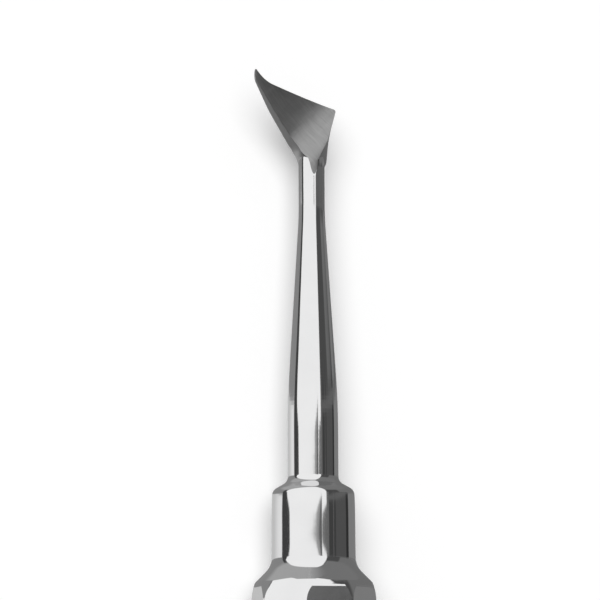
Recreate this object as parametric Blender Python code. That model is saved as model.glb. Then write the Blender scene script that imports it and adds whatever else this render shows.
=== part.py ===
"""Root elevator: a flag-shaped blade, a tapered shank, a collar and an octagonal handle.

The tool is one piece of stainless steel. It lies along Y with its point at +Y, and rests on
one flat of its handle, with the hollow-ground face of the blade upwards.
Sizes are in millimetres. A station is a distance back from the point of the blade, and
heights are measured from the axis of the handle.
"""
import math

import bmesh
import bpy
from mathutils import Matrix, Vector

# Metres in one of the units below
UNIT_SCALE = 0.001

# Lengths along the tool, one after the other from the point
FACE_LENGTH = 10.6
NECK_LENGTH = 4.3
TAPER_LENGTH = 19.3
SHANK_LENGTH = 8.24
COLLAR_LENGTH = 8.32
HANDLE_LENGTH = 97.5

# Turned sizes
NECK_RADIUS = 1.345
SHANK_RADIUS = 2.6
COLLAR_RADIUS = 4.3
SHOULDER_RISE = 0.41
COLLAR_SLOPE = math.radians(62.0)
CONE_SLOPE = math.radians(45.0)
SHOULDER_SLOPE = math.radians(20.0)
TAPER_BLEND = 40.0
COLLAR_FOOT_FILLET = 0.9
COLLAR_TOP_FILLET = 1.4
CONE_FILLET = 2.8
CONE_EDGE = 0.3
SHOULDER_FILLET = 6.2
BUTT_DOME = 18.0
BUTT_FILLET = 2.2

# Milled handle, and how far the turned lands between its flats lie inside sharp corners
FLATS = 8
ACROSS_FLATS = 12.0
LAND_DROP = 0.044

# The neck narrows to this stub inside the blade
STUB_STATION = 7.0
STUB_RADIUS = 0.9
STUB_END = 8.4
STUB_BLEND = 10.0

# Blade blank: station, offset from the axis and corner radius
BLADE_POINT = (-0.14, -6.62, 0.08)
BLADE_SWEEP = (1.12, -5.46, 3.8)
BLADE_HEEL = (3.98, 2.57, 0.28)
BLADE_WAIST = (7.0, 1.82, 4.0)
BLADE_ROOT = (9.35, 1.1, 1.2)
BLADE_KINK = (9.45, -0.4, 0.4)
BLADE_CHEEK = (7.8, -1.6, 2.0)
BLADE_BELLY = (0.75, -6.78, 1.9)

# Lean of the blank's wall at each of these corners, to the right going up
POINT_LEAN = math.radians(8.0)
SWEEP_LEAN = math.radians(5.7)
HEEL_LEAN = math.radians(-6.8)
WAIST_LEAN = math.radians(-17.2)
ROOT_LEAN = math.radians(-35.0)
KINK_LEAN = math.radians(16.9)
CHEEK_LEAN = math.radians(9.0)
BELLY_LEAN = math.radians(8.0)

# How far the wall bulges out at the height of the axis, where it runs into the round neck,
# and how much the right one turns in again below it, per millimetre squared
ROOT_BULGE = 0.45
KINK_BULGE = -0.84
ROOT_TUCK = 0.74

# Where the blank ends inside the neck: short of the face's end, its front and back below
# the neck's surface, the share of the neck's width that it keeps there, and its front plane,
# which rises towards the point
BLANK_TOP = 2.1
RUN_OUT = 0.4
FRONT_SETBACK = 0.045
BACK_SETBACK = 0.105
FRONT_SHARE = 0.15
BACK_SHARE = 0.85
FRONT_SLOPE = math.radians(9.0)

# The face is ground across the blade, down and to the right, from its lip on the neck back
# to the point. Runs are measured that way, and slopes are positive where the face climbs
# towards the lip
GRIND_TURN = math.radians(45.0)
LIP_RUN = 1.4
LIP_SLOPE = math.radians(4.9)
RAMP_RUN = 2.18
RAMP_SLOPE = math.radians(21.8)
FLOOR_RUN = 3.47
FLOOR_SLOPE = math.radians(-6.7)
HOLLOW_RUN = 3.9
HOLLOW_SLOPE = math.radians(-12.0)
POINT_RUN = 3.2
POINT_SLOPE = math.radians(-6.5)
LIP_BLEND = 3.0
RAMP_BLEND = 6.0
FLOOR_BLEND = 25.0
HOLLOW_BLEND = 20.0
WHEEL_REACH = 12.0
WHEEL_DEPTH = 4.0

# The back is ground the same way, in a belly and a thinner point, and then thinned again
# towards the top edge. The first two are heights, the rest slopes and a rounding
BELLY_START = 3.7
POINT_BEVEL_START = -0.36
BELLY_SLOPE = math.radians(12.4)
POINT_BEVEL_SLOPE = math.radians(25.0)
BELLY_BLEND = 8.0
EDGE_THICKNESS = 0.16
EDGE_BEVEL_SLOPE = math.radians(24.0)

# Fineness of the mesh, and the share of a straight that the arcs at its ends may take
STRAIGHT_SHARE = 0.98
TURNED_STEPS = 64
CORNER_STEPS = 6
WALL_STEPS = 6
DOME_STEPS = 4
SHARP_ANGLE = math.radians(18.0)

# Finishes, in the order of the mesh's material slots
POLISHED = 0
GROUND = 1

# Stations and radii that follow from the sizes above
BARREL_RADIUS = ACROSS_FLATS / 2.0 / math.cos(math.pi / FLATS) - LAND_DROP
SHOULDER_RADIUS = BARREL_RADIUS - SHOULDER_RISE
NECK_END = FACE_LENGTH + NECK_LENGTH
TAPER_END = NECK_END + TAPER_LENGTH
SHANK_END = TAPER_END + SHANK_LENGTH
COLLAR_END = SHANK_END + COLLAR_LENGTH
HANDLE_START = COLLAR_END + (SHOULDER_RADIUS - COLLAR_RADIUS) / math.tan(CONE_SLOPE)
TOTAL_LENGTH = HANDLE_START + HANDLE_LENGTH


def rounded(corners, closed=False):
    """Outline through (a, b, radius) corners, with each corner turned into an arc.

    Where two arcs would need more of the straight between them than its share for arcs, both
    are made shorter.
    """
    places = [Vector(corner[:2]) for corner in corners]
    count = len(corners)
    towards = [(places[(i + 1) % count] - places[i]).normalized() for i in range(count)]
    halves = [(-towards[i - 1]).angle(towards[i]) / 2.0 for i in range(count)]
    reaches = [corners[i][2] / math.tan(halves[i]) for i in range(count)]
    if not closed:
        reaches[0] = reaches[-1] = 0.0
    for i in range(count):
        following = (i + 1) % count
        straight = STRAIGHT_SHARE * (places[following] - places[i]).length
        share = straight / max(straight, reaches[i] + reaches[following])
        reaches[i] *= share
        reaches[following] *= share
    outline = []
    for i in range(count):
        if reaches[i] == 0.0:
            outline.append(places[i])
            continue
        radius = reaches[i] * math.tan(halves[i])
        inward = (towards[i] - towards[i - 1]).normalized()
        centre = places[i] + inward * radius / math.sin(halves[i])
        start = places[i] - towards[i - 1] * reaches[i] - centre
        end = places[i] + towards[i] * reaches[i] - centre
        sweep = start.angle_signed(end)
        for step in range(CORNER_STEPS + 1):
            turn = Matrix.Rotation(-sweep * step / CORNER_STEPS, 2)
            outline.append(centre + turn @ start)
    return outline


def turned_profile():
    """Stations and radii of the turned form, from the stub in the blade to the butt."""
    collar_rise = (COLLAR_RADIUS - SHANK_RADIUS) / math.tan(COLLAR_SLOPE)
    shoulder_run = SHOULDER_RISE / math.tan(SHOULDER_SLOPE)
    corners = [
        (STUB_STATION, 0.0, 0.0),
        (STUB_STATION, STUB_RADIUS, 0.0),
        (STUB_END, NECK_RADIUS, STUB_BLEND),
        (NECK_END, NECK_RADIUS, TAPER_BLEND),
        (TAPER_END, SHANK_RADIUS, TAPER_BLEND),
        (SHANK_END, SHANK_RADIUS, COLLAR_FOOT_FILLET),
        (SHANK_END + collar_rise, COLLAR_RADIUS, COLLAR_TOP_FILLET),
        (COLLAR_END, COLLAR_RADIUS, CONE_FILLET),
        (HANDLE_START, SHOULDER_RADIUS, CONE_EDGE),
        (HANDLE_START + shoulder_run, BARREL_RADIUS, SHOULDER_FILLET),
    ]
    for step in range(DOME_STEPS + 1):
        radius = BARREL_RADIUS * (1.0 - step / DOME_STEPS)
        drop = BUTT_DOME - math.sqrt(BUTT_DOME ** 2 - radius ** 2)
        corners.append((TOTAL_LENGTH - drop, radius, BUTT_FILLET if step == 0 else 0.0))
    return rounded(corners)


def cut_away(bm, point, normal):
    """Remove what lies beyond the plane and close the cut."""
    geometry = bm.verts[:] + bm.edges[:] + bm.faces[:]
    cut = bmesh.ops.bisect_plane(
        bm, geom=geometry, dist=1e-6, plane_co=point, plane_no=normal, clear_outer=True)
    rim = [item for item in cut["geom_cut"] if isinstance(item, bmesh.types.BMEdge)]
    bmesh.ops.holes_fill(bm, edges=rim, sides=0)


def turned_body():
    """The turned form with the flats milled on its handle."""
    bm = bmesh.new()
    land = math.pi / FLATS
    profile = [
        bm.verts.new((radius * math.cos(land), -station, radius * math.sin(land)))
        for station, radius in turned_profile()
    ]
    edges = [bm.edges.new(pair) for pair in zip(profile, profile[1:])]
    bmesh.ops.spin(
        bm, geom=profile + edges, cent=(0, 0, 0), axis=(0, 1, 0),
        angle=2.0 * math.pi, steps=TURNED_STEPS, use_merge=True)
    bmesh.ops.remove_doubles(bm, verts=bm.verts, dist=1e-5)
    for index in range(FLATS):
        angle = 2.0 * math.pi * index / FLATS
        normal = Vector((math.cos(angle), 0.0, math.sin(angle)))
        cut_away(bm, normal * ACROSS_FLATS / 2.0, normal)
    bmesh.ops.recalc_face_normals(bm, faces=bm.faces)
    return bm


def half_chord(height):
    """Half the width of the neck at a height above or below its axis."""
    return math.sqrt(NECK_RADIUS ** 2 - height ** 2)


def leaned(corner, lean, height, bulge=0.0, tuck=0.0):
    """A corner of the blank at a height, as (a, b, radius)."""
    station, offset, radius = corner
    offset += math.tan(lean) * height + bulge * (1.0 - (height / NECK_RADIUS) ** 2)
    offset -= tuck * min(height, 0.0) ** 2
    return offset, -station, radius


def blade_outline(height):
    """Plan outline of the blade blank at a height, ending inside the neck."""
    run_out = FACE_LENGTH - RUN_OUT
    front = NECK_RADIUS - FRONT_SETBACK
    rise = min(max(height, 0.0), front) / front
    share = BACK_SHARE + (FRONT_SHARE - BACK_SHARE) * rise
    end = share * half_chord(min(height, front))
    return rounded([
        leaned(BLADE_POINT, POINT_LEAN, height),
        leaned(BLADE_SWEEP, SWEEP_LEAN, height),
        leaned(BLADE_HEEL, HEEL_LEAN, height),
        leaned(BLADE_WAIST, WAIST_LEAN, height),
        leaned(BLADE_ROOT, ROOT_LEAN, height, ROOT_BULGE, ROOT_TUCK),
        (end, -run_out, 0.0),
        (-end, -run_out, 0.0),
        leaned(BLADE_KINK, KINK_LEAN, height, KINK_BULGE),
        leaned(BLADE_CHEEK, CHEEK_LEAN, height),
        leaned(BLADE_BELLY, BELLY_LEAN, height),
    ], closed=True)


def face_section():
    """Reaches and heights of the ground face, from its lip back past the point."""
    corners = [(FACE_LENGTH * math.sin(GRIND_TURN), NECK_RADIUS, 0.0)]
    stretches = (
        (LIP_RUN, LIP_SLOPE, LIP_BLEND),
        (RAMP_RUN, RAMP_SLOPE, RAMP_BLEND),
        (FLOOR_RUN, FLOOR_SLOPE, FLOOR_BLEND),
        (HOLLOW_RUN, HOLLOW_SLOPE, HOLLOW_BLEND),
        (POINT_RUN, POINT_SLOPE, 0.0),
    )
    for run, slope, blend in stretches:
        reach, height, _ = corners[-1]
        corners.append((reach - run, height - run * math.tan(slope), blend))
    return rounded(corners)


def back_section():
    """Reaches and heights of the ground back, from under the neck back past the point."""
    back = BACK_SETBACK - NECK_RADIUS
    bend = back + (BELLY_START - POINT_BEVEL_START) * math.tan(BELLY_SLOPE)
    drop = FACE_LENGTH * math.tan(BELLY_SLOPE)
    climb = WHEEL_REACH * math.tan(POINT_BEVEL_SLOPE)
    return rounded([
        (BELLY_START + FACE_LENGTH, back - drop, 0.0),
        (POINT_BEVEL_START, bend, BELLY_BLEND),
        (POINT_BEVEL_START - WHEEL_REACH, bend + climb, 0.0),
    ])


def ground_body(line, sweep, depth):
    """Closed body behind the surface that a line sweeps out: what a wheel takes away."""
    bm = bmesh.new()
    verts = [bm.verts.new(place) for place in line]
    edges = [bm.edges.new(pair) for pair in zip(verts, verts[1:])]
    swept = bmesh.ops.extrude_edge_only(bm, edges=edges)
    moved = [item for item in swept["geom"] if isinstance(item, bmesh.types.BMVert)]
    bmesh.ops.translate(bm, verts=moved, vec=sweep)
    sheet = bmesh.ops.extrude_face_region(bm, geom=bm.faces[:])
    moved = [item for item in sheet["geom"] if isinstance(item, bmesh.types.BMVert)]
    bmesh.ops.translate(bm, verts=moved, vec=(0.0, 0.0, depth))
    bmesh.ops.recalc_face_normals(bm, faces=bm.faces)
    return bm


def grind_directions():
    """The way that the wheel runs across the blade, and the way along its axis."""
    across = Vector((math.cos(GRIND_TURN), -math.sin(GRIND_TURN), 0.0))
    return across, Vector((across.y, -across.x, 0.0))


def cross_wheel(section, depth):
    """What is taken off by a wheel of this section that is led across the blade."""
    across, along = grind_directions()
    line = [
        across * reach - along * WHEEL_DEPTH + Vector((0.0, 0.0, height))
        for reach, height in section
    ]
    return ground_body(line, along * (WHEEL_DEPTH + WHEEL_REACH), depth)


def edge_wheel():
    """What is taken off the back along the top edge, at an even depth below the face."""
    across, along = grind_directions()
    point = Vector((BLADE_POINT[1], -BLADE_POINT[0], 0.0))
    heel = Vector((BLADE_HEEL[1], -BLADE_HEEL[0], 0.0))
    edge = (heel - point).normalized()
    inward = along * math.cos(EDGE_BEVEL_SLOPE) - Vector((0.0, 0.0, math.sin(EDGE_BEVEL_SLOPE)))
    line = []
    for reach, height in face_section():
        place = point + edge * (reach - across.dot(point)) / across.dot(edge)
        place.z = height - EDGE_THICKNESS
        line.append(place - inward * WHEEL_DEPTH)
    return ground_body(line, inward * (WHEEL_DEPTH + WHEEL_REACH), -WHEEL_DEPTH)


def blade_blank():
    """The blade before it is ground: a tall body with drafted walls."""
    bm = bmesh.new()
    back = BACK_SETBACK - NECK_RADIUS
    heights = [
        BLANK_TOP + (back - BLANK_TOP) * step / WALL_STEPS for step in range(WALL_STEPS + 1)
    ]
    outlines = [blade_outline(height) for height in heights]
    loops = []
    for height, outline in zip(heights, outlines):
        verts = [bm.verts.new((x, y, height)) for x, y in outline]
        loops.append([bm.edges.new(pair) for pair in zip(verts, verts[1:] + verts[:1])])
        if height in (heights[0], heights[-1]):
            bm.faces.new(verts)
    for upper, lower in zip(loops, loops[1:]):
        bmesh.ops.bridge_loops(bm, edges=upper + lower)
    bmesh.ops.recalc_face_normals(bm, faces=bm.faces)
    across, _ = grind_directions()
    front = Vector((0.0, RUN_OUT - FACE_LENGTH, NECK_RADIUS - FRONT_SETBACK))
    normal = across * math.sin(FRONT_SLOPE) + Vector((0.0, 0.0, math.cos(FRONT_SLOPE)))
    cut_away(bm, front, normal)
    bmesh.ops.recalc_face_normals(bm, faces=bm.faces)
    return bm


def steel(name, grey, roughness):
    """Bare stainless steel with the given grey and roughness."""
    material = bpy.data.materials.new(name)
    material.use_nodes = True
    shader = material.node_tree.nodes["Principled BSDF"]
    shader.inputs["Base Color"].default_value = (grey, grey, grey, 1.0)
    shader.inputs["Metallic"].default_value = 1.0
    shader.inputs["Roughness"].default_value = roughness
    return material


def new_object(name, bm, materials, finish):
    """Object made from a bmesh, with all its faces in the finish of that index."""
    mesh = bpy.data.meshes.new(name)
    bm.to_mesh(mesh)
    bm.free()
    for material in materials:
        mesh.materials.append(material)
    for polygon in mesh.polygons:
        polygon.material_index = finish
    made = bpy.data.objects.new(name, mesh)
    bpy.context.collection.objects.link(made)
    return made


def combine(body, tool, operation):
    """Join the tool to the body, or cut the body with it, and remove the tool."""
    modifier = body.modifiers.new(operation.title(), "BOOLEAN")
    modifier.operation = operation
    modifier.solver = "EXACT"
    modifier.object = tool
    bpy.context.view_layer.update()
    evaluated = body.evaluated_get(bpy.context.evaluated_depsgraph_get())
    mesh = bpy.data.meshes.new_from_object(evaluated)
    body.modifiers.clear()
    body.data = mesh
    bpy.data.objects.remove(tool)


def set_down(mesh):
    """Lay the tool on its lowest flat with its middle over the origin, in metres."""
    stations = [vertex.co.y for vertex in mesh.vertices]
    middle = (min(stations) + max(stations)) / 2.0
    place = Matrix.Translation((0.0, -middle, ACROSS_FLATS / 2.0))
    mesh.transform(Matrix.Scale(UNIT_SCALE, 4) @ place)


def build():
    """Make the elevator and leave it at its place."""
    for old in list(bpy.data.objects):
        bpy.data.objects.remove(old)
    finishes = [steel("polished_steel", 0.8, 0.12), steel("ground_steel", 0.62, 0.35)]
    blade = new_object("blade_blank", blade_blank(), finishes, GROUND)
    for wheel in (cross_wheel(back_section(), -WHEEL_DEPTH), edge_wheel()):
        combine(blade, new_object("wheel", wheel, finishes, GROUND), "DIFFERENCE")
    elevator = new_object("elevator", turned_body(), finishes, POLISHED)
    combine(elevator, blade, "UNION")
    wheel = cross_wheel(face_section(), WHEEL_DEPTH)
    combine(elevator, new_object("wheel", wheel, finishes, GROUND), "DIFFERENCE")
    set_down(elevator.data)
    elevator.data.shade_smooth()
    elevator.data.set_sharp_from_angle(angle=SHARP_ANGLE)


build()
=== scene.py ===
"""Looks of the root elevator: one bar of stainless steel with a ground flag blade.

The shape is modelled again here with fine fillets and softened edges, in millimetres about
the axis of the handle. A station is a distance back from the point of the blade. The finished
mesh is laid where the plain solid lies.
"""
import math

import bmesh
import bpy
from mathutils import Matrix, Vector


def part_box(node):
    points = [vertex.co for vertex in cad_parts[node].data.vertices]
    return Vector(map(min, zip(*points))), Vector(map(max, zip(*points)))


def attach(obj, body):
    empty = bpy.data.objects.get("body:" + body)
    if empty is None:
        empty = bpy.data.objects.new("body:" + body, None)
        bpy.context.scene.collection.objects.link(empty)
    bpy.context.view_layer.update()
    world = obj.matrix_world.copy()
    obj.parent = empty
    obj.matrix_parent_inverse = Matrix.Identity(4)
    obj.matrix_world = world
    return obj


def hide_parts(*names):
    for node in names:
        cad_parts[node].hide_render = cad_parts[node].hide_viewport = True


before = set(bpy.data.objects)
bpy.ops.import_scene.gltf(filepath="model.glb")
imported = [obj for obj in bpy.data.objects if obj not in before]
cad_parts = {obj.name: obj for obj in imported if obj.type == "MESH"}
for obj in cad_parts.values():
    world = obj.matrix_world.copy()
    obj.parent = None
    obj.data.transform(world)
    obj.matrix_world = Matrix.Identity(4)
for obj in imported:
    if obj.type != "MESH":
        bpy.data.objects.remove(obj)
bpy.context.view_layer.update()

# Metres in one of the units below
UNIT_SCALE = 0.001

# Lengths along the tool, one after the other from the point
FACE_LENGTH = 10.6
NECK_LENGTH = 4.3
TAPER_LENGTH = 19.3
SHANK_LENGTH = 8.24
COLLAR_LENGTH = 8.72
HANDLE_LENGTH = 97.16

# Turned sizes
NECK_RADIUS = 1.345
SHANK_RADIUS = 2.6
COLLAR_RADIUS = 4.3
SHOULDER_RISE = 0.41
COLLAR_SLOPE = math.radians(62.0)
CONE_SLOPE = math.radians(46.0)
SHOULDER_SLOPE = math.radians(20.0)
NECK_BLEND = 40.0
SHANK_BLEND = 95.0
COLLAR_FOOT_FILLET = 0.9
COLLAR_TOP_FILLET = 0.75
CONE_FILLET = 1.8
CONE_EDGE = 0.3
SHOULDER_FILLET = 6.2
BUTT_DOME = 18.0
BUTT_FILLET = 2.2

# Slight wave of the collar's side: the cube of the distance from its waist, which lies this
# far behind the shank
COLLAR_WAVE = 0.0012
COLLAR_WAIST = 5.06

# Milled handle, and how far the turned lands between its flats lie inside sharp corners
FLATS = 8
ACROSS_FLATS = 12.0
LAND_DROP = 0.044

# The neck narrows to this stub inside the blade
STUB_STATION = 7.0
STUB_RADIUS = 0.9
STUB_END = 8.4
STUB_BLEND = 10.0

# Blade blank: station, offset from the axis and corner radius
BLADE_POINT = (-0.14, -6.62, 0.08)
BLADE_SWEEP = (1.12, -5.46, 3.8)
BLADE_HEEL = (3.78, 2.58, 0.28)
BLADE_WAIST = (7.0, 1.82, 4.0)
BLADE_ROOT = (9.35, 1.1, 1.2)
BLADE_KINK = (9.45, -0.4, 0.4)
BLADE_CHEEK = (7.8, -1.6, 2.0)
BLADE_BELLY = (0.75, -6.775, 1.9)

# Lean of the blank's wall at each of these corners, to the right going up
POINT_LEAN = math.radians(8.0)
SWEEP_LEAN = math.radians(5.7)
HEEL_LEAN = math.radians(-6.8)
WAIST_LEAN = math.radians(-17.2)
ROOT_LEAN = math.radians(-35.0)
KINK_LEAN = math.radians(16.9)
CHEEK_LEAN = math.radians(9.0)
BELLY_LEAN = math.radians(8.0)

# How far the wall bulges out at the height of the axis, where it runs into the round neck,
# and how much the right one turns in again below it, per millimetre squared
ROOT_BULGE = 0.45
KINK_BULGE = -0.84
ROOT_TUCK = 0.74

# Where the blank ends inside the neck: short of the face's end, its front and back below
# the neck's surface, the share of the neck's width that it keeps there, and its front plane,
# which rises towards the point
BLANK_TOP = 2.1
RUN_OUT = 0.4
FRONT_SETBACK = 0.045
BACK_SETBACK = 0.105
FRONT_SHARE = 0.15
BACK_SHARE = 0.85
FRONT_SLOPE = math.radians(9.0)

# The face is ground across the blade, down and to the right, from its lip on the neck back
# to the point. Runs are measured that way, and slopes are positive where the face climbs
# towards the lip
GRIND_TURN = math.radians(45.0)
LIP_RUN = 1.4
LIP_SLOPE = math.radians(4.9)
RAMP_RUN = 2.18
RAMP_SLOPE = math.radians(21.8)
FLOOR_RUN = 3.47
FLOOR_SLOPE = math.radians(-6.7)
HOLLOW_RUN = 3.9
HOLLOW_SLOPE = math.radians(-12.0)
POINT_RUN = 3.2
POINT_SLOPE = math.radians(-6.5)
LIP_BLEND = 3.0
RAMP_BLEND = 6.0
FLOOR_BLEND = 25.0
HOLLOW_BLEND = 20.0
WHEEL_REACH = 12.0
WHEEL_DEPTH = 4.0

# The back is ground the same way, in a belly and a thinner point, and then thinned again
# towards the top edge. The first two are heights, the rest slopes and a rounding
BELLY_START = 3.7
POINT_BEVEL_START = -0.36
BELLY_SLOPE = math.radians(12.4)
POINT_BEVEL_SLOPE = math.radians(25.0)
BELLY_BLEND = 8.0
EDGE_THICKNESS = 0.16
EDGE_BEVEL_SLOPE = math.radians(24.0)

# Rolled start of each flat, where polishing has worn it down towards the cone
ROLL_STATION = 53.6
ROLL_RADIUS = 2.3
ROLL_SLOPE = math.radians(19.0)
ROLL_REACH = 2.5
ROLL_END = 55.0

# Softened edges: their widths, the least turn of an edge that is softened, and how far past
# the lip, behind the cone and past the tool's ends they are looked for
BLADE_EDGE_WIDTH = 0.035
FLAT_EDGE_WIDTH = 0.12
EDGE_SEGMENTS = 3
BLADE_EDGE_ANGLE = math.radians(24.0)
FLAT_EDGE_ANGLE = math.radians(14.0)
LIP_MARGIN = 0.2
CONE_MARGIN = 0.5
END_MARGIN = 1.0

# Distances within which points are one
MERGE_DISTANCE = 0.004
POLE_DISTANCE = 1e-5
CUT_DISTANCE = 1e-6

# Fineness of the mesh, the share of a straight that the arcs at its ends may take, and the
# share of it that extra rings may reach in from each end
STRAIGHT_SHARE = 0.98
RING_SHARE = 0.4
TURNED_STEPS = 192
CORNER_STEPS = 14
DOME_STEPS = 12
WALL_STEPS = 12
RING_GAPS = (0.05, 0.2, 0.6, 1.0, 1.4, 1.8, 2.3)
WALL_PIECE = 0.3
SECTION_PIECE = 0.12
SECTION_PASSES = 6
ROLL_STEPS = 8
NORMAL_WEIGHT = 50

# Finishes, in the order of the mesh's material slots
POLISHED = 0
GROUND_FACE = 1
GROUND_SIDE = 2

# Polished finish: faint lines along the tool and slight waves, both per metre
POLISH_LINES = (9000.0, 120.0, 9000.0)
POLISH_WAVES = 350.0
POLISH_DARK = (0.80, 0.80, 0.805, 1.0)
POLISH_LIGHT = (0.86, 0.86, 0.86, 1.0)
POLISH_ROUGHNESS = 0.05
LINE_ROUGHNESS = 0.04
LINE_HEIGHT = 0.02
POLISH_DEPTH = 0.000004

# Ground finish: fine and coarse streaks, per metre across and along, and how they are turned
FINE_STREAKS = (9000.0, 500.0)
COARSE_STREAKS = (3500.0, 300.0)
COARSE_TURN = 0.15
FINE_SHARE = 0.6
STREAK_ROUGHNESS = 0.12
STREAK_DEPTH = 0.00002
FACE_STREAK_TURN = math.radians(45.0)
FACE_DARK = (0.23, 0.23, 0.23, 1.0)
FACE_LIGHT = (0.52, 0.52, 0.52, 1.0)
FACE_ROUGHNESS = 0.30
SIDE_STREAK_TURN = math.radians(60.0)
SIDE_DARK = (0.42, 0.42, 0.42, 1.0)
SIDE_LIGHT = (0.58, 0.58, 0.58, 1.0)
SIDE_ROUGHNESS = 0.24

# Towards the point of the tool
ALONG = Vector((0.0, 1.0, 0.0))

# Stations and radii that follow from the sizes above
BARREL_RADIUS = ACROSS_FLATS / 2.0 / math.cos(math.pi / FLATS) - LAND_DROP
SHOULDER_RADIUS = BARREL_RADIUS - SHOULDER_RISE
NECK_END = FACE_LENGTH + NECK_LENGTH
TAPER_END = NECK_END + TAPER_LENGTH
SHANK_END = TAPER_END + SHANK_LENGTH
COLLAR_END = SHANK_END + COLLAR_LENGTH
HANDLE_START = COLLAR_END + (SHOULDER_RADIUS - COLLAR_RADIUS) / math.tan(CONE_SLOPE)
TOTAL_LENGTH = HANDLE_START + HANDLE_LENGTH

# Photograph: its size in pixels, its scale, and the place of its centre on the tool
PHOTO_PIXELS = 600.0
PIXELS_PER_MILLIMETRE = 9.68
POINT_ROW = 71.0
CENTRE_ROW = 300.0
CENTRE_LEFT_OF_AXIS = 1.26
CAMERA_LEAN = math.radians(15.0)
CAMERA_TILT = math.radians(7.0)
CAMERA_ROLL = math.radians(-0.3)
CAMERA_DISTANCE = 520.0
SENSOR_WIDTH = 36.0
CLIP_START = 0.01

# Light: levels of the lamp and of the dome, the lamp's spread and its tilt to the point of the
# tool, and the table, with the glow that makes it white to the camera
LAMP_LEVEL = 0.72
LAMP_SPREAD = math.radians(44.0)
LAMP_TILT = math.radians(15.0)
DOME_LEVEL = 0.28
TABLE_HALF = 3.0
TABLE_GREY = (0.93, 0.93, 0.93, 1.0)
TABLE_GLOW = 0.13

# What the metal mirrors, in tones from 0 to 1 and angles in degrees. An edge is given as its
# place and its softness, and a band as its two edges and their softness. On the right there
# are strips, the turn at which each starts, its softness and its tone, with a ledge over them
RIGHT_TONE = 0.153
RIGHT_STRIPS = (
    (43.5, 2.0, 0.055),
    (56.6, 1.0, 0.13),
    (58.4, 1.0, 0.055),
    (65.0, 2.0, 0.085),
    (102.0, 3.0, 0.03),
    (113.0, 2.0, 0.22),
)
LEDGE_BAND = (0.8, 2.2, 0.4)
LEDGE_TONE = 0.135

# What the flat that faces the camera sees, which darkens to the right
NEAR_CLIMB = (-3.05, 0.1)
NEAR_TURN = (30.35, 0.6)
NEAR_TONES = (0.16, 0.07)

# Far towards the butt
BUTT_CLIMB = (-12.0, 8.0)
BUTT_RIGHT_TONE = 0.22
BUTT_LEFT_TONE = 0.30

# Wall above the strips
WALL_CLIMB = (4.0, 5.0)
WALL_TURN = (78.0, 8.0)
WALL_TONES = (0.075, 0.17)

# Left side: dark gap, bright table, and grey beyond an edge that moves in two steps
GREY_EDGE = -183.0
GREY_STEPS = ((86.0, (0.3, 1.8)), (9.0, (7.3, 1.8)))
GREY_SOFTNESS = 3.0
GREY_TONE = 0.26
PALE_TURN = (-125.0, 40.0)
PALE_TONES = (0.58, 0.84)
GAP_TURN = (-97.0, 3.0)
GAP_TONE = 0.055
SIDES_TURN = (-30.0, 1.0)

# Soft box: its left edge, which moves in two steps, and its right edge at both ends of a climb
BOX_LEFT = -69.0
BOX_LEFT_STEPS = ((-10.0, (0.0, 4.0)), (-6.0, (10.0, 14.0)))
BOX_RIGHT = (24.0, 37.0)
BOX_RIGHT_CLIMB = (-1.0, 2.4)
BOX_SOFTNESS = 2.0
BOX_TONE = 0.98

# Shade of the camera in the soft box: its right edge, the climbs at which it starts to widen
# with how much it widens per degree, and the share of it that is darker
SHADE_EDGE = 23.5
SHADE_STARTS = ((2.4, 3.9), (-1.9, 10.0))
SHADE_TONES = (0.34, 0.13)
SHADE_CORE = 0.4
SHADE_CORE_SOFTNESS = 2.0
SHADE_SOFTNESS = 1.5

# Room beyond the soft box, and the table ahead of the tool
ROOM_TONES = (0.40, 0.19)
ROOM_SIDE = (0.05, 0.4)
ROOM_PITCH = (76.0, 5.0)
ROOM_CLIMB = (30.0, 12.0)
BOX_TURNS = (-84.0, 40.0, 4.0)
AHEAD_PITCH = (112.0, 5.0)
AHEAD_CLIMB = (50.0, 10.0)
AHEAD_SIDES = (-0.3, 0.2, 0.2)
AHEAD_TONE = 0.9


class Signal:
    """A socket of a node graph, on which arithmetic adds Math nodes."""

    def __init__(self, graph, socket):
        self.graph = graph
        self.socket = socket

    def math(self, operation, *others):
        """A Math node whose first value is this signal."""
        values = dict(enumerate((self,) + others))
        return self.graph.add("ShaderNodeMath", {"operation": operation}, values)

    def __add__(self, other):
        return self.math("ADD", other)

    __radd__ = __add__

    def __mul__(self, other):
        return self.math("MULTIPLY", other)

    __rmul__ = __mul__

    def __sub__(self, other):
        return self.math("SUBTRACT", other)

    def __rsub__(self, other):
        return (self * -1.0) + other


class Graph:
    """The node graph of a material or of the world."""

    def __init__(self, owner):
        owner.use_nodes = True
        self.tree = owner.node_tree
        self.tree.nodes.clear()

    def add(self, kind, settings=None, inputs=None, output=0):
        """A new node, with its settings first and then its sockets' values or links."""
        node = self.tree.nodes.new(kind)
        for name, value in (settings or {}).items():
            setattr(node, name, value)
        for name, value in (inputs or {}).items():
            if isinstance(value, Signal):
                self.tree.links.new(value.socket, node.inputs[name])
            else:
                node.inputs[name].default_value = value
        if not node.outputs:
            return node
        return Signal(self, node.outputs[output])

    def rise(self, value, edge, softness):
        """0 below the edge and 1 above it, with a soft change."""
        return self.add("ShaderNodeMapRange", {"interpolation_type": "SMOOTHSTEP"}, {
            "Value": value, "From Min": edge - softness / 2.0, "From Max": edge + softness / 2.0})

    def band(self, value, low, high, softness):
        """1 between two edges and 0 outside them."""
        return self.rise(value, low, softness) - self.rise(value, high, softness)

    def blend(self, start, end, share):
        """Number between two numbers or signals."""
        return (end - start) * share + start

    def tint(self, start, end, share):
        """Colour between two colours."""
        settings = {"data_type": "RGBA"}
        return self.add("ShaderNodeMix", settings, {0: share, 6: start, 7: end}, output=2)


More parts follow.
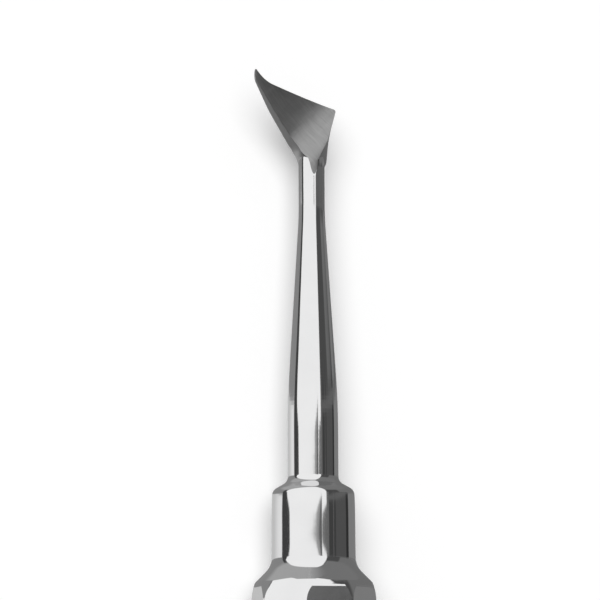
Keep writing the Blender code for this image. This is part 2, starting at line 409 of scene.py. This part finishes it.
def rounded(corners, closed=False):
    """Outline through (a, b, radius) corners, with each corner turned into an arc.

    Where two arcs would need more of the straight between them than its share for arcs, both
    are made shorter.
    """
    places = [Vector(corner[:2]) for corner in corners]
    count = len(corners)
    towards = [(places[(i + 1) % count] - places[i]).normalized() for i in range(count)]
    halves = [(-towards[i - 1]).angle(towards[i]) / 2.0 for i in range(count)]
    reaches = [corners[i][2] / math.tan(halves[i]) for i in range(count)]
    if not closed:
        reaches[0] = reaches[-1] = 0.0
    for i in range(count):
        following = (i + 1) % count
        straight = STRAIGHT_SHARE * (places[following] - places[i]).length
        share = straight / max(straight, reaches[i] + reaches[following])
        reaches[i] *= share
        reaches[following] *= share
    outline = []
    for i in range(count):
        if reaches[i] == 0.0:
            outline.append(places[i])
            continue
        radius = reaches[i] * math.tan(halves[i])
        inward = (towards[i] - towards[i - 1]).normalized()
        centre = places[i] + inward * radius / math.sin(halves[i])
        start = places[i] - towards[i - 1] * reaches[i] - centre
        end = places[i] + towards[i] * reaches[i] - centre
        sweep = start.angle_signed(end)
        for step in range(CORNER_STEPS + 1):
            turn = Matrix.Rotation(-sweep * step / CORNER_STEPS, 2)
            outline.append(centre + turn @ start)
    return outline


def ringed(outline):
    """Outline with extra points close to both ends of its long straights."""
    points = [outline[0]]
    for start, end in zip(outline, outline[1:]):
        length = (end - start).length
        gaps = [gap for gap in RING_GAPS if gap < length * RING_SHARE]
        shares = [gap / length for gap in gaps]
        shares += [1.0 - share for share in reversed(shares)]
        points += [start.lerp(end, share) for share in shares]
        points.append(end)
    return points


def collar_wave(station):
    """How far the collar's side lies off a cylinder, fading out on the slopes beside it."""
    collar_start = SHANK_END + (COLLAR_RADIUS - SHANK_RADIUS) / math.tan(COLLAR_SLOPE)
    offset = min(max(station, collar_start), COLLAR_END) - SHANK_END - COLLAR_WAIST
    before = (station - SHANK_END) / (collar_start - SHANK_END)
    after = (HANDLE_START - station) / (HANDLE_START - COLLAR_END)
    share = min(max(min(before, after), 0.0), 1.0)
    return COLLAR_WAVE * offset ** 3 * share ** 2 * (3.0 - 2.0 * share)


def turned_profile():
    """Stations and radii of the turned form, from the stub in the blade to the butt."""
    collar_rise = (COLLAR_RADIUS - SHANK_RADIUS) / math.tan(COLLAR_SLOPE)
    shoulder_run = SHOULDER_RISE / math.tan(SHOULDER_SLOPE)
    corners = [
        (STUB_STATION, 0.0, 0.0),
        (STUB_STATION, STUB_RADIUS, 0.0),
        (STUB_END, NECK_RADIUS, STUB_BLEND),
        (NECK_END, NECK_RADIUS, NECK_BLEND),
        (TAPER_END, SHANK_RADIUS, SHANK_BLEND),
        (SHANK_END, SHANK_RADIUS, COLLAR_FOOT_FILLET),
        (SHANK_END + collar_rise, COLLAR_RADIUS, COLLAR_TOP_FILLET),
        (COLLAR_END, COLLAR_RADIUS, CONE_FILLET),
        (HANDLE_START, SHOULDER_RADIUS, CONE_EDGE),
        (HANDLE_START + shoulder_run, BARREL_RADIUS, SHOULDER_FILLET),
    ]
    for step in range(DOME_STEPS + 1):
        radius = BARREL_RADIUS * (1.0 - step / DOME_STEPS)
        drop = BUTT_DOME - math.sqrt(BUTT_DOME ** 2 - radius ** 2)
        corners.append((TOTAL_LENGTH - drop, radius, BUTT_FILLET if step == 0 else 0.0))
    profile = ringed(rounded(corners))
    for place in profile:
        place.y += collar_wave(place.x)
    return profile


def cut_away(bm, point, normal, reach=math.inf):
    """Remove what lies beyond the plane within reach of the point, and close the cut."""
    faces = [
        face for face in bm.faces
        if all(abs(vert.co.y - point.y) < reach for vert in face.verts)
    ]
    # Each element once, in the order in which the faces have them
    edges = dict.fromkeys(edge for face in faces for edge in face.edges)
    verts = dict.fromkeys(vert for face in faces for vert in face.verts)
    geometry = list(verts) + list(edges) + faces
    cut = bmesh.ops.bisect_plane(
        bm, geom=geometry, dist=CUT_DISTANCE, plane_co=point, plane_no=normal,
        clear_outer=True)
    rim = [item for item in cut["geom_cut"] if isinstance(item, bmesh.types.BMEdge)]
    bmesh.ops.holes_fill(bm, edges=rim, sides=0)


def soften_edges(bm, width, angle, first_station, last_station):
    """Round the edges that turn by more than the angle between two stations."""
    edges = [
        edge for edge in bm.edges
        if len(edge.link_faces) == 2 and edge.calc_face_angle() > angle
        and all(first_station < -vert.co.y < last_station for vert in edge.verts)
    ]
    bmesh.ops.bevel(
        bm, geom=edges, offset=width, offset_type="OFFSET", segments=EDGE_SEGMENTS,
        profile=0.5, affect="EDGES", clamp_overlap=True, material=-1)


def turned_body():
    """The turned form with the flats milled on its handle and their edges polished over."""
    bm = bmesh.new()
    land = math.pi / FLATS
    profile = [
        bm.verts.new((radius * math.cos(land), -station, radius * math.sin(land)))
        for station, radius in turned_profile()
    ]
    edges = [bm.edges.new(pair) for pair in zip(profile, profile[1:])]
    bmesh.ops.spin(
        bm, geom=profile + edges, cent=(0, 0, 0), axis=(0, 1, 0),
        angle=2.0 * math.pi, steps=TURNED_STEPS, use_merge=True)
    bmesh.ops.remove_doubles(bm, verts=bm.verts, dist=POLE_DISTANCE)
    for index in range(FLATS):
        angle = 2.0 * math.pi * index / FLATS
        outwards = Vector((math.cos(angle), 0.0, math.sin(angle)))
        cut_away(bm, outwards * ACROSS_FLATS / 2.0, outwards)
    bmesh.ops.bisect_plane(
        bm, geom=bm.verts[:] + bm.edges[:] + bm.faces[:], dist=CUT_DISTANCE,
        plane_co=-ALONG * ROLL_END, plane_no=ALONG)
    for index in range(FLATS):
        angle = 2.0 * math.pi * index / FLATS
        outwards = Vector((math.cos(angle), 0.0, math.sin(angle)))
        for step in range(1, ROLL_STEPS + 1):
            slope = ROLL_SLOPE * step / ROLL_STEPS
            height = ACROSS_FLATS / 2.0 - ROLL_RADIUS * (1.0 - math.cos(slope))
            station = ROLL_STATION - ROLL_RADIUS * math.sin(slope)
            point = outwards * height - ALONG * station
            cut_away(bm, point, outwards * math.cos(slope) + ALONG * math.sin(slope), ROLL_REACH)
    bmesh.ops.recalc_face_normals(bm, faces=bm.faces)
    return bm


def half_chord(height):
    """Half the width of the neck at a height above or below its axis."""
    return math.sqrt(NECK_RADIUS ** 2 - height ** 2)


def leaned(corner, lean, height, bulge=0.0, tuck=0.0):
    """A corner of the blank at a height, as (a, b, radius)."""
    station, offset, radius = corner
    offset += math.tan(lean) * height + bulge * (1.0 - (height / NECK_RADIUS) ** 2)
    offset -= tuck * min(height, 0.0) ** 2
    return offset, -station, radius


def blade_outline(height):
    """Plan outline of the blade blank at a height, ending inside the neck."""
    run_out = FACE_LENGTH - RUN_OUT
    front = NECK_RADIUS - FRONT_SETBACK
    rise = min(max(height, 0.0), front) / front
    share = BACK_SHARE + (FRONT_SHARE - BACK_SHARE) * rise
    end = share * half_chord(min(height, front))
    return rounded([
        leaned(BLADE_POINT, POINT_LEAN, height),
        leaned(BLADE_SWEEP, SWEEP_LEAN, height),
        leaned(BLADE_HEEL, HEEL_LEAN, height),
        leaned(BLADE_WAIST, WAIST_LEAN, height),
        leaned(BLADE_ROOT, ROOT_LEAN, height, ROOT_BULGE, ROOT_TUCK),
        (end, -run_out, 0.0),
        (-end, -run_out, 0.0),
        leaned(BLADE_KINK, KINK_LEAN, height, KINK_BULGE),
        leaned(BLADE_CHEEK, CHEEK_LEAN, height),
        leaned(BLADE_BELLY, BELLY_LEAN, height),
    ], closed=True)


def finely_divided(outlines):
    """Closed outlines with their long straights divided alike into short pieces."""
    pairs = [list(zip(outline, outline[1:] + outline[:1])) for outline in outlines]
    counts = [
        max(1, round(max((end - start).length for start, end in row) / WALL_PIECE))
        for row in zip(*pairs)
    ]
    return [
        [start.lerp(end, step / count)
         for (start, end), count in zip(row, counts) for step in range(count)]
        for row in pairs
    ]


def evened(line):
    """Line with even pieces and with its changes of curvature smoothed."""
    for _ in range(SECTION_PASSES):
        places = []
        for start, end in zip(line, line[1:]):
            count = max(1, round((end - start).length / SECTION_PIECE))
            places += [start.lerp(end, step / count) for step in range(count)]
        places.append(line[-1])
        inner = [(a + b * 2.0 + c) / 4.0 for a, b, c in zip(places, places[1:], places[2:])]
        line = [places[0]] + inner + [places[-1]]
    return line


def face_section():
    """Reaches and heights of the ground face, from its lip back past the point."""
    corners = [(FACE_LENGTH * math.sin(GRIND_TURN), NECK_RADIUS, 0.0)]
    stretches = (
        (LIP_RUN, LIP_SLOPE, LIP_BLEND),
        (RAMP_RUN, RAMP_SLOPE, RAMP_BLEND),
        (FLOOR_RUN, FLOOR_SLOPE, FLOOR_BLEND),
        (HOLLOW_RUN, HOLLOW_SLOPE, HOLLOW_BLEND),
        (POINT_RUN, POINT_SLOPE, 0.0),
    )
    for run, slope, blend in stretches:
        reach, height, _ = corners[-1]
        corners.append((reach - run, height - run * math.tan(slope), blend))
    return evened(rounded(corners))


def back_section():
    """Reaches and heights of the ground back, from under the neck back past the point."""
    back = BACK_SETBACK - NECK_RADIUS
    bend = back + (BELLY_START - POINT_BEVEL_START) * math.tan(BELLY_SLOPE)
    drop = FACE_LENGTH * math.tan(BELLY_SLOPE)
    climb = WHEEL_REACH * math.tan(POINT_BEVEL_SLOPE)
    return evened(rounded([
        (BELLY_START + FACE_LENGTH, back - drop, 0.0),
        (POINT_BEVEL_START, bend, BELLY_BLEND),
        (POINT_BEVEL_START - WHEEL_REACH, bend + climb, 0.0),
    ]))


def ground_body(line, sweep, depth):
    """Closed body behind the surface that a line sweeps out: what a wheel takes away."""
    bm = bmesh.new()
    verts = [bm.verts.new(place) for place in line]
    edges = [bm.edges.new(pair) for pair in zip(verts, verts[1:])]
    swept = bmesh.ops.extrude_edge_only(bm, edges=edges)
    moved = [item for item in swept["geom"] if isinstance(item, bmesh.types.BMVert)]
    bmesh.ops.translate(bm, verts=moved, vec=sweep)
    sheet = bmesh.ops.extrude_face_region(bm, geom=bm.faces[:])
    moved = [item for item in sheet["geom"] if isinstance(item, bmesh.types.BMVert)]
    bmesh.ops.translate(bm, verts=moved, vec=(0.0, 0.0, depth))
    bmesh.ops.recalc_face_normals(bm, faces=bm.faces)
    return bm


def grind_directions():
    """The way that the wheel runs across the blade, and the way along its axis."""
    across = Vector((math.cos(GRIND_TURN), -math.sin(GRIND_TURN), 0.0))
    return across, Vector((across.y, -across.x, 0.0))


def cross_wheel(section, depth):
    """What is taken off by a wheel of this section that is led across the blade."""
    across, along = grind_directions()
    line = [
        across * reach - along * WHEEL_DEPTH + Vector((0.0, 0.0, height))
        for reach, height in section
    ]
    return ground_body(line, along * (WHEEL_DEPTH + WHEEL_REACH), depth)


def edge_wheel():
    """What is taken off the back along the top edge, at an even depth below the face."""
    across, along = grind_directions()
    point = Vector((BLADE_POINT[1], -BLADE_POINT[0], 0.0))
    heel = Vector((BLADE_HEEL[1], -BLADE_HEEL[0], 0.0))
    edge = (heel - point).normalized()
    inward = along * math.cos(EDGE_BEVEL_SLOPE) - Vector((0.0, 0.0, math.sin(EDGE_BEVEL_SLOPE)))
    line = []
    for reach, height in face_section():
        place = point + edge * (reach - across.dot(point)) / across.dot(edge)
        place.z = height - EDGE_THICKNESS
        line.append(place - inward * WHEEL_DEPTH)
    return ground_body(line, inward * (WHEEL_DEPTH + WHEEL_REACH), -WHEEL_DEPTH)


def blade_blank():
    """The blade before it is ground: a tall body with drafted walls."""
    bm = bmesh.new()
    back = BACK_SETBACK - NECK_RADIUS
    heights = [
        BLANK_TOP + (back - BLANK_TOP) * step / WALL_STEPS for step in range(WALL_STEPS + 1)
    ]
    outlines = finely_divided([blade_outline(height) for height in heights])
    loops = []
    for height, outline in zip(heights, outlines):
        verts = [bm.verts.new((x, y, height)) for x, y in outline]
        loops.append([bm.edges.new(pair) for pair in zip(verts, verts[1:] + verts[:1])])
        if height in (heights[0], heights[-1]):
            bm.faces.new(verts)
    for upper, lower in zip(loops, loops[1:]):
        bmesh.ops.bridge_loops(bm, edges=upper + lower)
    bmesh.ops.recalc_face_normals(bm, faces=bm.faces)
    across, _ = grind_directions()
    front = Vector((0.0, RUN_OUT - FACE_LENGTH, NECK_RADIUS - FRONT_SETBACK))
    normal = across * math.sin(FRONT_SLOPE) + Vector((0.0, 0.0, math.cos(FRONT_SLOPE)))
    cut_away(bm, front, normal)
    bmesh.ops.recalc_face_normals(bm, faces=bm.faces)
    return bm


def new_object(name, bm, materials, finish):
    """Object made from a bmesh, with all its faces in the finish of that index."""
    mesh = bpy.data.meshes.new(name)
    bm.to_mesh(mesh)
    bm.free()
    for material in materials:
        mesh.materials.append(material)
    for polygon in mesh.polygons:
        polygon.material_index = finish
    made = bpy.data.objects.new(name, mesh)
    bpy.context.scene.collection.objects.link(made)
    return made


def combine(body, tool, operation):
    """Join the tool to the body, or cut the body with it, and remove the tool."""
    modifier = body.modifiers.new(operation.title(), "BOOLEAN")
    modifier.operation = operation
    modifier.solver = "EXACT"
    modifier.object = tool
    bpy.context.view_layer.update()
    evaluated = body.evaluated_get(bpy.context.evaluated_depsgraph_get())
    mesh = bpy.data.meshes.new_from_object(evaluated)
    body.modifiers.clear()
    body.data = mesh
    bpy.data.objects.remove(tool)


def finish_edges(mesh):
    """Close tiny faces and soften the edges of the blade and of the flats."""
    bm = bmesh.new()
    bm.from_mesh(mesh)
    bmesh.ops.remove_doubles(bm, verts=bm.verts, dist=MERGE_DISTANCE)
    bmesh.ops.dissolve_degenerate(bm, edges=bm.edges, dist=MERGE_DISTANCE)
    soften_edges(
        bm, BLADE_EDGE_WIDTH, BLADE_EDGE_ANGLE, -END_MARGIN, FACE_LENGTH + LIP_MARGIN)
    soften_edges(
        bm, FLAT_EDGE_WIDTH, FLAT_EDGE_ANGLE, HANDLE_START + CONE_MARGIN,
        TOTAL_LENGTH + END_MARGIN)
    bmesh.ops.recalc_face_normals(bm, faces=bm.faces)
    bm.to_mesh(mesh)
    bm.free()


def set_down(mesh):
    """Lay the tool where the plain solid lies, in metres."""
    low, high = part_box("elevator")
    stations = [vertex.co.y for vertex in mesh.vertices]
    middle = (min(stations) + max(stations)) / 2.0
    into_place = Matrix.Translation((0.0, (low.y + high.y) / 2.0, low.z))
    about_middle = Matrix.Translation((0.0, -middle, ACROSS_FLATS / 2.0))
    mesh.transform(into_place @ Matrix.Scale(UNIT_SCALE, 4) @ about_middle)


def steel_shader(graph, grey, roughness, height, depth):
    """Bare steel with a grey, a roughness and a bump that follow the surface."""
    bump = graph.add("ShaderNodeBump", None, {
        "Strength": 1.0, "Distance": depth, "Height": height})
    shader = graph.add("ShaderNodeBsdfPrincipled", None, {
        "Base Color": grey, "Metallic": 1.0, "Roughness": roughness, "Normal": bump})
    graph.add("ShaderNodeOutputMaterial", None, {"Surface": shader})


def scratches(graph, turn, across, along):
    """Streaks on the face's plane: fine across one direction and long along it."""
    place = graph.add("ShaderNodeTexCoord", None, None, output="Object")
    turned = graph.add("ShaderNodeMapping", None, {
        "Vector": place, "Rotation": (0.0, 0.0, turn)})
    stretched = graph.add("ShaderNodeMapping", None, {
        "Vector": turned, "Scale": (along, across, along)})
    return graph.add("ShaderNodeTexNoise", None, {
        "Vector": stretched, "Scale": 1.0, "Detail": 3.0, "Roughness": 0.6})


def polished_steel():
    """Bright polished steel with faint lines along the tool and slight waviness."""
    material = bpy.data.materials.new("polished_steel")
    graph = Graph(material)
    place = graph.add("ShaderNodeTexCoord", None, None, output="Object")
    lines = graph.add("ShaderNodeMapping", None, {"Vector": place, "Scale": POLISH_LINES})
    hair = graph.add("ShaderNodeTexNoise", None, {
        "Vector": lines, "Scale": 1.0, "Detail": 2.0})
    cloud = graph.add("ShaderNodeTexNoise", None, {
        "Vector": place, "Scale": POLISH_WAVES, "Detail": 2.0})
    shade = graph.tint(POLISH_DARK, POLISH_LIGHT, cloud)
    roughness = hair * LINE_ROUGHNESS + POLISH_ROUGHNESS
    steel_shader(graph, shade, roughness, hair * LINE_HEIGHT + cloud, POLISH_DEPTH)
    return material


def ground_steel(name, turn, dark, light, roughness):
    """Satin ground steel with streaks left by the wheel."""
    material = bpy.data.materials.new(name)
    graph = Graph(material)
    fine = scratches(graph, turn, *FINE_STREAKS)
    coarse = scratches(graph, turn + COARSE_TURN, *COARSE_STREAKS)
    streaks = fine * FINE_SHARE + coarse * (1.0 - FINE_SHARE)
    shade = graph.tint(dark, light, streaks)
    steel_shader(graph, shade, streaks * STREAK_ROUGHNESS + roughness, streaks, STREAK_DEPTH)
    return material


def elevator_piece():
    """The whole tool as one fine mesh."""
    finishes = [
        polished_steel(),
        ground_steel("ground_face", FACE_STREAK_TURN, FACE_DARK, FACE_LIGHT, FACE_ROUGHNESS),
        ground_steel("ground_side", SIDE_STREAK_TURN, SIDE_DARK, SIDE_LIGHT, SIDE_ROUGHNESS),
    ]
    blade = new_object("blade_blank", blade_blank(), finishes, GROUND_SIDE)
    for wheel in (cross_wheel(back_section(), -WHEEL_DEPTH), edge_wheel()):
        combine(blade, new_object("wheel", wheel, finishes, GROUND_SIDE), "DIFFERENCE")
    piece = new_object("root_elevator", turned_body(), finishes, POLISHED)
    combine(piece, blade, "UNION")
    wheel = cross_wheel(face_section(), WHEEL_DEPTH)
    combine(piece, new_object("wheel", wheel, finishes, GROUND_FACE), "DIFFERENCE")
    finish_edges(piece.data)
    set_down(piece.data)
    piece.data.shade_smooth()
    weighted = piece.modifiers.new("Weighted normals", "WEIGHTED_NORMAL")
    weighted.mode = "FACE_AREA"
    weighted.weight = NORMAL_WEIGHT
    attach(piece, "root")
    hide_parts("elevator")
    return piece


def camera_axes():
    """Directions of the camera's right, up and back, before its roll."""
    right = Vector((math.cos(CAMERA_LEAN), 0.0, math.sin(CAMERA_LEAN)))
    back = Vector((-math.sin(CAMERA_LEAN), 0.0, math.cos(CAMERA_LEAN)))
    return right, ALONG, back


def place_camera():
    """Camera above the blade and shank, to their left and nearer to the butt."""
    low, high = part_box("elevator")
    right, up, back = camera_axes()
    along = (CENTRE_ROW - POINT_ROW) / PIXELS_PER_MILLIMETRE
    target = Vector((0.0, high.y - along * UNIT_SCALE, (low.z + high.z) / 2.0))
    target -= right * CENTRE_LEFT_OF_AXIS * UNIT_SCALE
    camera = bpy.data.objects.new("camera", bpy.data.cameras.new("camera"))
    camera.data.sensor_width = SENSOR_WIDTH
    width = PHOTO_PIXELS / PIXELS_PER_MILLIMETRE
    camera.data.lens = SENSOR_WIDTH * CAMERA_DISTANCE / width
    camera.data.clip_start = CLIP_START
    axes = Matrix((right, up, back)).transposed().to_4x4()
    stand = Matrix.Translation((0.0, 0.0, CAMERA_DISTANCE * UNIT_SCALE))
    tilt = Matrix.Rotation(CAMERA_TILT, 4, "X")
    roll = Matrix.Rotation(CAMERA_ROLL, 4, "Z")
    camera.matrix_world = Matrix.Translation(target) @ axes @ tilt @ stand @ roll
    bpy.context.scene.collection.objects.link(camera)
    bpy.context.scene.camera = camera


def dot(graph, vector, axis):
    """Length of a vector along an axis."""
    settings = {"operation": "DOT_PRODUCT"}
    return graph.add("ShaderNodeVectorMath", settings, {0: vector, 1: axis}, output="Value")


def stepped(graph, start, steps, climb):
    """A value that changes by each step's amount where the climb passes that step's edge."""
    for amount, edge in steps:
        start = graph.rise(climb, *edge) * amount + start
    return start


def right_side(graph, turn, climb):
    """Tones on the right: dim things in strips, and a wall above them."""
    strips = RIGHT_TONE
    for edge, softness, tone in RIGHT_STRIPS:
        strips = graph.blend(strips, tone, graph.rise(turn, edge, softness))
    strips = graph.blend(strips, LEDGE_TONE, graph.band(climb, *LEDGE_BAND))
    near = graph.blend(*NEAR_TONES, graph.rise(turn, *NEAR_TURN))
    near = graph.blend(near, strips, graph.rise(turn, *RIGHT_STRIPS[0][:2]))
    strips = graph.blend(near, strips, graph.rise(climb, *NEAR_CLIMB))
    strips = graph.blend(BUTT_RIGHT_TONE, strips, graph.rise(climb, *BUTT_CLIMB))
    wall = graph.blend(*WALL_TONES, graph.rise(turn, *WALL_TURN))
    return graph.blend(strips, wall, graph.rise(climb, *WALL_CLIMB))


def left_side(graph, turn, climb):
    """Tones on the left: a dark gap, then the pale table, and grey beyond it."""
    pale = graph.blend(*PALE_TONES, graph.rise(turn, *PALE_TURN))
    pale = graph.blend(BUTT_LEFT_TONE, pale, graph.rise(climb, *BUTT_CLIMB))
    grey_edge = stepped(graph, GREY_EDGE, GREY_STEPS, climb)
    tone = graph.blend(GREY_TONE, pale, graph.rise(turn, grey_edge, GREY_SOFTNESS))
    return graph.blend(tone, GAP_TONE, graph.rise(turn, *GAP_TURN))


def soft_box(graph, turn, climb):
    """Share of the soft box in what is seen, from 0 to 1."""
    left = stepped(graph, BOX_LEFT, BOX_LEFT_STEPS, climb)
    right = graph.blend(*BOX_RIGHT, graph.rise(climb, *BOX_RIGHT_CLIMB))
    return graph.band(turn, left, right, BOX_SOFTNESS)


def camera_shade(graph, tone, turn, climb):
    """The tone with the camera's dark shade over it, wider towards the butt."""
    width = 0.0
    for start, widening in SHADE_STARTS:
        width = (start - climb).math("MAXIMUM", 0.0) * widening + width
    core = graph.rise(turn, SHADE_EDGE - width * SHADE_CORE, SHADE_CORE_SOFTNESS)
    shade = graph.blend(*SHADE_TONES, core)
    reach = graph.band(turn, SHADE_EDGE - width, SHADE_EDGE, SHADE_SOFTNESS)
    return graph.blend(tone, shade, reach)


def studio_reflection(graph):
    """What polished metal sees: a soft box above, dark gaps beside it and a pale table.

    The turn is the angle about the tool's length, from the camera to its right. The climb is
    the angle towards the point of the tool, counted from the camera's mirror image, and the
    pitch is the same angle seen from the side. All are in degrees.
    """
    right, up, back = camera_axes()
    ray = graph.add("ShaderNodeTexCoord", None, None, output="Generated")
    sideways = dot(graph, ray, right)
    outwards = dot(graph, ray, back)
    ahead = dot(graph, ray, up)
    level = math.degrees(CAMERA_TILT)
    turn = sideways.math("ARCTAN2", outwards) * math.degrees(1.0)
    climb = ahead.math("ARCSINE") * math.degrees(1.0) - level
    pitch = ahead.math("ARCTAN2", outwards) * math.degrees(1.0) - level

    right_tone = right_side(graph, turn, climb)
    left_tone = left_side(graph, turn, climb)
    tone = graph.blend(left_tone, right_tone, graph.rise(turn, *SIDES_TURN))
    tone = graph.blend(tone, BOX_TONE, soft_box(graph, turn, climb))
    tone = camera_shade(graph, tone, turn, climb)

    room = graph.blend(*ROOM_TONES, graph.rise(sideways, *ROOM_SIDE))
    beyond = graph.rise(pitch, *ROOM_PITCH)
    aside = 1.0 - graph.band(turn, *BOX_TURNS)
    beyond = graph.blend(beyond, graph.rise(climb, *ROOM_CLIMB), aside)
    tone = graph.blend(tone, room, beyond)
    table = graph.rise(pitch, *AHEAD_PITCH) * graph.rise(climb, *AHEAD_CLIMB)
    return graph.blend(tone, AHEAD_TONE, table * graph.band(sideways, *AHEAD_SIDES))


def light_world():
    """Soft white dome, with the studio around it for reflections."""
    world = bpy.data.worlds.new("studio")
    bpy.context.scene.world = world
    graph = Graph(world)
    rays = graph.tree.nodes.new("ShaderNodeLightPath")
    is_camera = Signal(graph, rays.outputs["Is Camera Ray"])
    is_glossy = Signal(graph, rays.outputs["Is Glossy Ray"])
    level = graph.blend(DOME_LEVEL, studio_reflection(graph), is_glossy)
    level = graph.blend(level, 1.0, is_camera)
    background = graph.add("ShaderNodeBackground", None, {"Color": level, "Strength": 1.0})
    graph.add("ShaderNodeOutputWorld", None, {"Surface": background})


def overhead_light():
    """Large soft light above, on the camera's side and towards the point of the tool."""
    lamp = bpy.data.lights.new("overhead", "SUN")
    lamp.energy = LAMP_LEVEL * math.pi
    lamp.angle = LAMP_SPREAD
    light = bpy.data.objects.new("overhead", lamp)
    light.rotation_euler = (-LAMP_TILT, -CAMERA_LEAN, 0.0)
    light.visible_glossy = False
    bpy.context.scene.collection.objects.link(light)


def floor():
    """Pale table that the tool lies on, white to the camera and shaded by the tool."""
    bm = bmesh.new()
    bmesh.ops.create_grid(bm, x_segments=1, y_segments=1, size=TABLE_HALF)
    mesh = bpy.data.meshes.new("table")
    bm.to_mesh(mesh)
    bm.free()
    material = bpy.data.materials.new("table")
    graph = Graph(material)
    is_camera = graph.add("ShaderNodeLightPath", None, None, output="Is Camera Ray")
    shader = graph.add("ShaderNodeBsdfPrincipled", None, {
        "Base Color": TABLE_GREY, "Roughness": 1.0, "Specular IOR Level": 0.0,
        "Emission Color": is_camera, "Emission Strength": TABLE_GLOW})
    graph.add("ShaderNodeOutputMaterial", None, {"Surface": shader})
    mesh.materials.append(material)
    table = bpy.data.objects.new("table", mesh)
    table.visible_glossy = False
    bpy.context.scene.collection.objects.link(table)


elevator_piece()
place_camera()
light_world()
overhead_light()
floor()
bpy.context.scene.view_settings.view_transform = "Standard"
